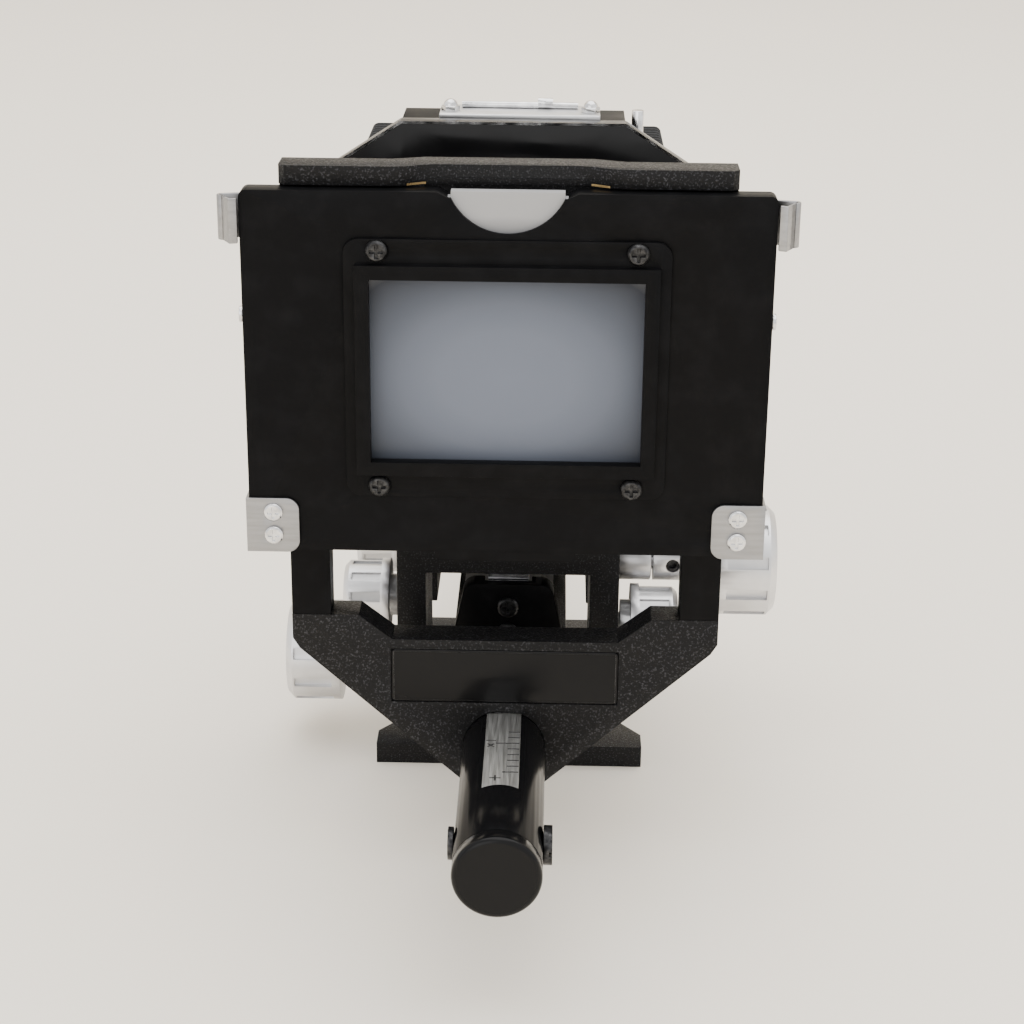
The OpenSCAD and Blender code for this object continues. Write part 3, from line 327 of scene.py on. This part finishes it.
def make_brushed_plate():
    """The scale's silver plate, brushed along its length."""
    material, tree, shader = start_finish("brushed_scale_plate", (0.62, 0.62, 0.6), 0.42, 0.9)
    strokes = grain(tree, 3800, 4, (1, 0.04, 1))
    vary_colour(tree, shader, strokes, (0.52, 0.52, 0.5), (0.7, 0.7, 0.68))
    vary_roughness(tree, shader, strokes, 0.34, 0.5)
    return material


def make_opal(colour):
    """Milky acrylic painted with light and shade: darker in the window, brightest in its middle and
    falling off towards its edges, and painted paler above it in the notch, where light falls on the
    plate.
    """
    material, tree, shader = start_finish("opal_acrylic", colour, 0.4, gloss=0.15)
    place = tree.nodes.new("ShaderNodeTexCoord")
    mapping = tree.nodes.new("ShaderNodeMapping")
    mapping.vector_type = "TEXTURE"
    mapping.inputs["Location"].default_value = (0, 0, WINDOW_Z)
    mapping.inputs["Scale"].default_value = (WINDOW_WIDTH, 1, WINDOW_HEIGHT)
    flatten = tree.nodes.new("ShaderNodeVectorMath")
    flatten.operation = "MULTIPLY"
    flatten.inputs[1].default_value = (1, 0, 1)
    length = tree.nodes.new("ShaderNodeVectorMath")
    length.operation = "LENGTH"
    ramp = tree.nodes.new("ShaderNodeValToRGB")
    stops = ramp.color_ramp
    # Painted light and shade: from the window's middle, out through painted shade, to the paler notch
    stops.elements[0].color = (*colour, 1)
    stops.elements[1].color = (*NOTCH_PAINTED_LIGHT, 1)
    stops.elements[1].position = NOTCH_DISTANCE
    for position, share in PAINTED_FALL_OFF:
        stop = stops.elements.new(position)
        stop.color = (*lighter(colour, share), 1)
    tree.links.new(place.outputs["Object"], mapping.inputs["Vector"])
    tree.links.new(mapping.outputs["Vector"], flatten.inputs[0])
    tree.links.new(flatten.outputs["Vector"], length.inputs[0])
    tree.links.new(length.outputs["Value"], ramp.inputs["Fac"])
    tree.links.new(ramp.outputs["Color"], shader.inputs["Base Color"])
    vary_roughness(tree, shader, grain(tree, 240, 4), 0.35, 0.5)
    return material


def make_bellows_cloth():
    """Rubberised black cloth, its tone varying with the weave."""
    material, tree, shader = start_finish("bellows_cloth", (0.012, 0.012, 0.013), 0.72, gloss=0.3)
    weave = grain(tree, 2400, 3)
    vary_colour(tree, shader, weave, (0.008, 0.008, 0.009), (0.035, 0.035, 0.036), (0.4, 0.8))
    vary_roughness(tree, shader, weave, 0.62, 0.85)
    raise_grain(tree, shader, weave, 0.06 * MM, 0.6)
    shader.inputs["Sheen Weight"].default_value = 0.15
    return material


def make_filled_engraving():
    """Black paint in the scale's engraved marks."""
    material, tree, shader = start_finish("engraving_black", (0.02, 0.02, 0.02), 0.6)
    vary_colour(tree, shader, grain(tree, 3000, 3), (0.012, 0.012, 0.012), (0.06, 0.06, 0.06))
    return material


def make_finishes(finishes):
    """Every finish, by its slot in the record, and those of the clips and the marks."""
    MATERIALS.clear()
    MATERIALS.update({
        "black": make_satin_paint(finishes.satin_black),
        "crinkle": make_crinkle_paint(finishes.crinkle_black),
        "gloss_black": make_gloss_paint(finishes.gloss_black),
        "satin": make_satin_aluminium(finishes.aluminium),
        "clip": make_clip_metal(),
        "bright": make_bright_steel(),
        "plate": make_brushed_plate(),
        "steel": make_machined_steel(),
        "brass": make_brass(),
        "black_screw": make_blackened_steel(),
        "opal": make_opal(finishes.opal),
        "bellows": make_bellows_cloth(),
        "engraving": make_filled_engraving(),
    })


def finish_of(node):
    """The finish of a node. The sheet clips and the foot differ from their slots: the foot takes the
    paler crinkle finish as painted light on it.
    """
    if node.endswith("_clip"):
        return MATERIALS["clip"]
    return MATERIALS["crinkle" if node == "foot" else SLOT_OF[node]]


# ---- mesh work ----

def new_piece(name, work, material, smooth=True):
    """A mesh object from a bmesh."""
    mesh = bpy.data.meshes.new(name)
    bmesh.ops.recalc_face_normals(work, faces=work.faces)
    work.to_mesh(mesh)
    work.free()
    for face in mesh.polygons:
        face.use_smooth = smooth
    piece = bpy.data.objects.new(name, mesh)
    bpy.context.scene.collection.objects.link(piece)
    mesh.materials.append(material)
    return piece


def apply_modifiers(piece):
    """The piece keeps the shape that its modifiers give it."""
    bpy.context.view_layer.update()
    view = bpy.context.evaluated_depsgraph_get()
    mesh = bpy.data.meshes.new_from_object(piece.evaluated_get(view))
    old = piece.data
    piece.modifiers.clear()
    piece.data = mesh
    bpy.data.meshes.remove(old)


def finish_piece(piece, body, slot, *nodes):
    """The piece rides on its body and stands for the nodes, if any."""
    if nodes:
        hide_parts(*nodes)
    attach(piece, body)


def work_edges(node, width):
    """The node's own form with its edges rounded, in the node's place."""
    source = frame["nodes"][node]
    work = bmesh.new()
    work.from_mesh(source.data)
    bmesh.ops.remove_doubles(work, verts=work.verts, dist=0.002 * MM)
    bmesh.ops.dissolve_limit(work, angle_limit=math.radians(0.6),
        verts=work.verts, edges=work.edges)
    piece = new_piece(node + "_worked", work, finish_of(node))
    bevel = piece.modifiers.new("edges", "BEVEL")
    bevel.width = width
    bevel.segments = 2
    bevel.limit_method = "ANGLE"
    bevel.angle_limit = math.radians(32)
    bevel.harden_normals = True
    bevel.use_clamp_overlap = True
    apply_modifiers(piece)
    finish_piece(piece, BODY_OF[node], SLOT_OF[node], node)


def add_block(work, low, high, spot=Matrix.Identity(4)):
    """A box between two corners, turned and moved to its spot."""
    middle = (Vector(low) + Vector(high)) / 2
    size = Vector(high) - Vector(low)
    shape = Matrix.Translation(middle) @ Matrix.Diagonal((*size, 1))
    bmesh.ops.create_cube(work, size=1, matrix=spot @ shape)


def add_loop_strip(work, rings, closed=False, capped=False):
    """Faces between rings of points of one length, from the last to the first if closed."""
    rows = [[work.verts.new(point) for point in ring] for ring in rings]
    pairs = list(zip(rows, rows[1:]))
    if closed:
        pairs.append((rows[-1], rows[0]))
    for first, second in pairs:
        for i in range(len(first)):
            j = (i + 1) % len(first)
            work.faces.new((first[i], first[j], second[j], second[i]))
    if capped:
        work.faces.new(rows[0])
        work.faces.new(rows[-1][::-1])


def square_ring(half, corner, y, centre_z, steps=4):
    """Points round a square with round corners, at one y."""
    points = []
    for turn in range(4):
        middle = Matrix.Rotation(turn * math.pi / 2, 2) @ Vector((half - corner, half - corner))
        for k in range(steps + 1):
            angle = turn * math.pi / 2 + k / steps * math.pi / 2
            points.append((middle.x + corner * math.cos(angle), y,
                centre_z + middle.y + corner * math.sin(angle)))
    return points


def pleated_tube(name, node, folds, depth, thickness):
    """A closed wall of cloth in the node's place, folded in and out along Y."""
    low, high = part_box(node)
    outer = (high[0] - low[0]) / 2
    step = (high[1] - low[1]) / folds
    outside = []
    for i in range(folds):
        base = low[1] + i * step
        for share, lift in FOLD:
            half = outer - depth * (1 - lift)
            corner = FOLD_CORNER + INNER_CORNER * (1 - lift)
            outside.append((base + share * step, half, corner))
    inside = [(y, half - thickness * 1.6, corner) for y, half, corner in reversed(outside)]
    rings = [square_ring(half, corner, y, OPTIC_Z) for y, half, corner in outside + inside]
    work = bmesh.new()
    add_loop_strip(work, rings, closed=True)
    return new_piece(name, work, MATERIALS["bellows"])


def outline_band(name, outline, y0, y1, inset, material):
    """A thin band that follows a closed outline of (x, z) points, inset from it."""
    middle = Vector((sum(p[0] for p in outline), sum(p[1] for p in outline))) / len(outline)
    inner = []
    for point in outline:
        away = Vector(point) - middle
        inner.append(tuple(middle + away - away.normalized() * inset))
    rings = [[(x, y, z) for x, z in loop] for loop, y in
        ((outline, y0), (outline, y1), (inner, y1), (inner, y0))]
    work = bmesh.new()
    add_loop_strip(work, rings, closed=True)
    return new_piece(name, work, material, smooth=False)


# ---- operators ----

class PieceOperator:
    """What all the operators share: run make(), and raise what goes wrong."""

    bl_options = {"REGISTER", "UNDO"}

    def execute(self, context):
        scene = context.scene
        self.make(scene.duplicator_sizes, scene.duplicator_finishes, scene.duplicator_studio)
        return {"FINISHED"}


class DUPLICATOR_OT_studio(PieceOperator, bpy.types.Operator):
    """Makes the finishes, the floor, the lights and the camera"""

    bl_idname = "duplicator.studio"
    bl_label = "Studio"

    def make(self, sizes, finishes, studio):
        make_finishes(finishes)
        self.make_floor(finishes.backdrop)
        self.make_camera(studio.focal_length)
        self.make_lights(studio)

    def make_floor(self, colour):
        work = bmesh.new()
        profile = [(-SWEEP_HALF, 0.0), (SWEEP_Y, 0.0)]
        for step in range(1, SWEEP_STEPS + 1):
            angle = step / SWEEP_STEPS * math.pi / 2
            profile.append((SWEEP_Y + SWEEP_RADIUS * math.sin(angle),
                SWEEP_RADIUS - SWEEP_RADIUS * math.cos(angle)))
        profile.append((SWEEP_Y + SWEEP_RADIUS, SWEEP_TOP))
        rows = [[work.verts.new((x, y, z)) for x in (-SWEEP_HALF, SWEEP_HALF)] for y, z in profile]
        for first, second in zip(rows, rows[1:]):
            work.faces.new((first[0], first[1], second[1], second[0]))
        material, tree, shader = start_finish("pale_paper", colour, 0.9)
        vary_colour(tree, shader, grain(tree, 3, 2), lighter(colour, 0.99), lighter(colour, 1.01))
        floor = new_piece("paper_sweep", work, material)

    def make_camera(self, focal_length):
        data = bpy.data.cameras.new("photo_camera")
        data.lens = focal_length
        data.sensor_width = SENSOR_WIDTH
        data.clip_start = 0.01
        camera = bpy.data.objects.new("photo_camera", data)
        bpy.context.scene.collection.objects.link(camera)
        down, yaw, roll = (math.radians(a) for a in (CAMERA_DOWN, CAMERA_YAW, CAMERA_ROLL))
        ahead = Vector((math.sin(yaw) * math.cos(down), math.cos(yaw) * math.cos(down),
            -math.sin(down)))
        level = Vector((math.cos(yaw), -math.sin(yaw), 0))
        up = level.cross(ahead)
        right = math.cos(roll) * level + math.sin(roll) * up
        top = -math.sin(roll) * level + math.cos(roll) * up
        turn = Matrix((right, top, -ahead)).transposed()
        camera.matrix_world = Matrix.Translation(CAMERA_PLACE) @ turn.to_4x4()
        bpy.context.scene.camera = camera

    def make_lights(self, studio):
        self.add_area("overhead_light", place=(0.1, 0.1, 1.1), target=(0, 0, 0.08),
            size=1.3, power=studio.key_power)
        self.add_area("front_light", place=(-0.5, -1.2, 0.55), target=(0, -0.05, 0.07),
            size=0.8, power=studio.fill_power)
        world = bpy.data.worlds.new("even_light")
        world.use_nodes = True
        shade = world.node_tree.nodes["Background"]
        shade.inputs["Color"].default_value = (*LIGHT_COLOUR, 1)
        shade.inputs["Strength"].default_value = studio.sky_strength
        bpy.context.scene.world = world

    def add_area(self, name, place, target, size, power):
        data = bpy.data.lights.new(name, "AREA")
        data.shape = "SQUARE"
        data.size = size
        data.energy = power
        data.color = LIGHT_COLOUR
        lamp = bpy.data.objects.new(name, data)
        bpy.context.scene.collection.objects.link(lamp)
        lamp.location = place
        lamp.rotation_euler = (Vector(target) - Vector(place)).to_track_quat("-Z", "Y").to_euler()


class DUPLICATOR_OT_panel(PieceOperator, bpy.types.Operator):
    """Works the edges of the front panel, its bezel, clips and screws"""

    bl_idname = "duplicator.panel"
    bl_label = "Front panel"

    def make(self, sizes, finishes, studio):
        for node in ("front_panel", "window_bezel"):
            work_edges(node, sizes.sheet_edge * 1.4)
        for node in ("left_corner_clip", "right_corner_clip", "left_spring_clip", "right_spring_clip"):
            work_edges(node, sizes.sheet_edge * 0.7)
        for node in ("bezel_screws", "corner_screws", "side_screws"):
            work_edges(node, sizes.screw_edge)


class DUPLICATOR_OT_stage(PieceOperator, bpy.types.Operator):
    """Works the stage frame, and folds the hood behind it"""

    bl_idname = "duplicator.stage"
    bl_label = "Stage and hood"

    def make(self, sizes, finishes, studio):
        work_edges("stage_frame", sizes.casting_edge)
        work_edges("hood_ring", sizes.sheet_edge)
        self.make_worn_edge()
        hood = pleated_tube("hood_folds", "hood_bellows", sizes.hood_folds,
            HOOD_FOLD_DEPTH, sizes.cloth_thickness)
        finish_piece(hood, "stage", "bellows", "hood_bellows")

    def make_worn_edge(self):
        """Paint worn to brass along the lower edge of the recess in the stage's bar."""
        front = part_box("front_panel")[0][1] + 2.5 * MM
        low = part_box("front_panel")[1][2] + 0.32 * MM
        # Along the recess: (x, back) in mm. Across the edge: (depth, rise) in mm.
        path = ((-15.5, 0.5), (-13, 1.9), (-10.5, 2.3), (10.5, 2.3), (13, 1.9), (15.5, 0.5))
        across = ((-0.05, 0.0), (-0.05, 0.32), (0.05, 0.34), (0.05, 0.0))
        rings = [[(x * MM, front + (back + depth) * MM, low + rise * MM) for depth, rise in across]
            for x, back in path]
        work = bmesh.new()
        add_loop_strip(work, rings, capped=True)
        edge = new_piece("worn_recess_edge", work, MATERIALS["brass"], smooth=False)
        finish_piece(edge, "stage", "brass")


class DUPLICATOR_OT_carriage(PieceOperator, bpy.types.Operator):
    """Works the carriage casting and posts, edges the bare plate, and rings it with a painted
    highlight
    """

    bl_idname = "duplicator.carriage"
    bl_label = "Carriage"

    def make(self, sizes, finishes, studio):
        work_edges("carriage_casting", sizes.casting_edge)
        for node in ("left_post", "right_post", "name_plate"):
            work_edges(node, sizes.sheet_edge)
        work_edges("carriage_lock_screw", sizes.screw_edge)
        # Painted highlight: a thin dark-metal band round the plate stands in for the light along its
        # edge
        low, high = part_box("name_plate")
        margin = 0.35 * MM
        x0, x1, z0, z1 = low[0] + margin, high[0] - margin, low[2] + margin, high[2] - margin
        outline = [(x0, z0), (x1, z0), (x1, z1), (x0, z1)]
        front = low[1]
        rim = outline_band("plate_edge_highlight", outline, front - 0.04 * MM, front + 0.1 * MM,
            0.12 * MM, MATERIALS["black_screw"])
        finish_piece(rim, "carriage", "black_screw")


class DUPLICATOR_OT_tube(PieceOperator, bpy.types.Operator):
    """Works the guide tube and fills the scale's marks"""

    bl_idname = "duplicator.tube"
    bl_label = "Guide tube and scale"

    def make(self, sizes, finishes, studio):
        work_edges("guide_tube", sizes.screw_edge)
        work_edges("tube_cap", sizes.sheet_edge)
        work_edges("tube_cross_screw", sizes.screw_edge)
        work_edges("scale_plate", sizes.screw_edge)
        self.make_marks(sizes)

    def make_marks(self, sizes):
        low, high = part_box("scale_plate")
        top = high[2]
        right = high[0] - 0.1 * MM
        half = sizes.tick_width / 2
        work = bmesh.new()
        middle_y = low[1] + 15.4 * MM
        for step in range(-5, 3):
            y = middle_y + step * sizes.tick_pitch
            reach = {0: 3.9, -5: 2.6}.get(step, 1.9) * MM
            add_block(work, (right - reach, y - half, top - MARK_SINK),
                (right, y + half, top + MARK_RISE))
        self.add_cross(work, (-0.9 * MM, middle_y - 12 * MM), 0.9 * MM, 0, top)
        self.add_cross(work, (-1.9 * MM, middle_y - 0.8 * MM), 0.75 * MM, 45, top)
        add_block(work, (-2.7 * MM, middle_y + 0.75 * MM, top - MARK_SINK),
            (-1.1 * MM, middle_y + 1.05 * MM, top + MARK_RISE))
        marks = new_piece("scale_marks", work, MATERIALS["engraving"], smooth=False)
        finish_piece(marks, BODY_OF["scale_plate"], "black_screw")

    def add_cross(self, work, centre, reach, turn, top):
        """Two strokes of one length across each other."""
        for angle in (turn, turn + 90):
            spot = Matrix.Translation((*centre, top)) @ Matrix.Rotation(math.radians(angle), 4, "Z")
            add_block(work, (-reach, -STROKE_HALF, -MARK_SINK), (reach, STROKE_HALF, MARK_RISE), spot)


class DUPLICATOR_OT_rail(PieceOperator, bpy.types.Operator):
    """Works the rail's end block, stop and screws, the base block and the foot"""

    bl_idname = "duplicator.rail"
    bl_label = "Rail and foot"

    def make(self, sizes, finishes, studio):
        for node in ("rail_end_block", "rail_stop", "foot", "base_block"):
            work_edges(node, sizes.sheet_edge * 1.5)
        work_edges("rail_end_screws", sizes.screw_edge)


class DUPLICATOR_OT_standards(PieceOperator, bpy.types.Operator):
    """Works both standards, and draws a painted highlight along the front board's top edge"""

    bl_idname = "duplicator.standards"
    bl_label = "Standards"

    def make(self, sizes, finishes, studio):
        for node in ("front_saddle", "rear_saddle"):
            work_edges(node, sizes.casting_edge)
        for node in ("front_board", "rear_board", "lens_mount_ring", "camera_mount_ring",
                "head_housing", "linkage_plate", "front_sleeve", "rear_sleeve"):
            work_edges(node, sizes.sheet_edge)
        for node in ("acorn_screws", "linkage_rod", "release_pin", "front_set_screw"):
            work_edges(node, sizes.screw_edge)
        self.make_board_highlight("front_board", "front_board_highlight")

    def make_board_highlight(self, node, name):
        """A narrow bright strip along the board's top edge and corners: a painted highlight."""
        low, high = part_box(node)
        half, top = high[0], high[2]
        edge, shoulder = half - 15.3 * MM, top - 9.9 * MM
        path = [(-half, shoulder), (-edge, top), (edge, top), (half, shoulder)]
        inner = [(x * 0.994, z - 0.45 * MM) for x, z in path]
        front = low[1]
        work = bmesh.new()
        for corners in zip(path, path[1:], inner[1:], inner):
            rings = [[(x, y, z) for x, z in corners] for y in (front - 0.03 * MM, front + 0.05 * MM)]
            add_loop_strip(work, rings, capped=True)
        # Painted highlight: the bright strip stands for light along the board's edge
        line = new_piece(name, work, MATERIALS["bright"], smooth=False)
        finish_piece(line, BODY_OF[node], "bright")


class DUPLICATOR_OT_knobs(PieceOperator, bpy.types.Operator):
    """Works the edges of the drive and lock knobs"""

    bl_idname = "duplicator.knobs"
    bl_label = "Knobs"

    def make(self, sizes, finishes, studio):
        for node in ("front_drive_knob", "rear_drive_knob", "rail_drive_knob",
                "left_lock_knob", "right_lock_knob", "rear_lock_knob"):
            work_edges(node, sizes.sheet_edge * 1.1)


class DUPLICATOR_OT_bellows(PieceOperator, bpy.types.Operator):
    """Folds the two halves of the main bellows"""

    bl_idname = "duplicator.bellows"
    bl_label = "Main bellows"

    def make(self, sizes, finishes, studio):
        for name, node, first, second in (
                ("front_bellows_folds", "front_bellows_half", "front_standard", "rail_assembly"),
                ("rear_bellows_folds", "rear_bellows_half", "rail_assembly", "rear_standard")):
            piece = pleated_tube(name, node, sizes.bellows_folds,
                MAIN_FOLD_DEPTH, sizes.cloth_thickness)
            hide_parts(node)
            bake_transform(piece)


class DUPLICATOR_OT_finishes(PieceOperator, bpy.types.Operator):
    """Gives every node of the model its finish"""

    bl_idname = "duplicator.finishes"
    bl_label = "Finishes"

    def make(self, sizes, finishes, studio):
        for name, node in frame["nodes"].items():
            material = finish_of(name)
            if not node.material_slots:
                raise RuntimeError("no material slot on " + name)
            for place in node.material_slots:
                place.material = material


class DUPLICATOR_PT_pieces(bpy.types.Panel):
    """Lists the pieces in the sidebar"""

    bl_idname = "DUPLICATOR_PT_pieces"
    bl_label = "Slide duplicator"
    bl_space_type = "VIEW_3D"
    bl_region_type = "UI"
    bl_category = "Slide duplicator"

    def draw(self, context):
        scene = context.scene
        for group in (scene.duplicator_sizes, scene.duplicator_finishes, scene.duplicator_studio):
            box = self.layout.box()
            for name in group.__annotations__:
                box.prop(group, name)
        for operator in OPERATORS:
            self.layout.operator(operator.bl_idname)


OPERATORS = (
    DUPLICATOR_OT_studio,
    DUPLICATOR_OT_finishes,
    DUPLICATOR_OT_panel,
    DUPLICATOR_OT_stage,
    DUPLICATOR_OT_carriage,
    DUPLICATOR_OT_tube,
    DUPLICATOR_OT_rail,
    DUPLICATOR_OT_standards,
    DUPLICATOR_OT_knobs,
    DUPLICATOR_OT_bellows,
)
CLASSES = (DuplicatorSizes, DuplicatorFinishes, DuplicatorStudio, *OPERATORS, DUPLICATOR_PT_pieces)


def register():
    """Adds the classes and the scene's settings."""
    for item in CLASSES:
        bpy.utils.register_class(item)
    bpy.types.Scene.duplicator_sizes = bpy.props.PointerProperty(type=DuplicatorSizes)
    bpy.types.Scene.duplicator_finishes = bpy.props.PointerProperty(type=DuplicatorFinishes)
    bpy.types.Scene.duplicator_studio = bpy.props.PointerProperty(type=DuplicatorStudio)


def unregister():
    """Takes away what register added."""
    del bpy.types.Scene.duplicator_studio
    del bpy.types.Scene.duplicator_finishes
    del bpy.types.Scene.duplicator_sizes
    for item in reversed(CLASSES):
        bpy.utils.unregister_class(item)


def main():
    """Makes every piece."""
    register()
    for operator in OPERATORS:
        group, name = operator.bl_idname.split(".")
        getattr(getattr(bpy.ops, group), name)()
    bpy.context.view_layer.update()


if __name__ == "__main__":
    main()
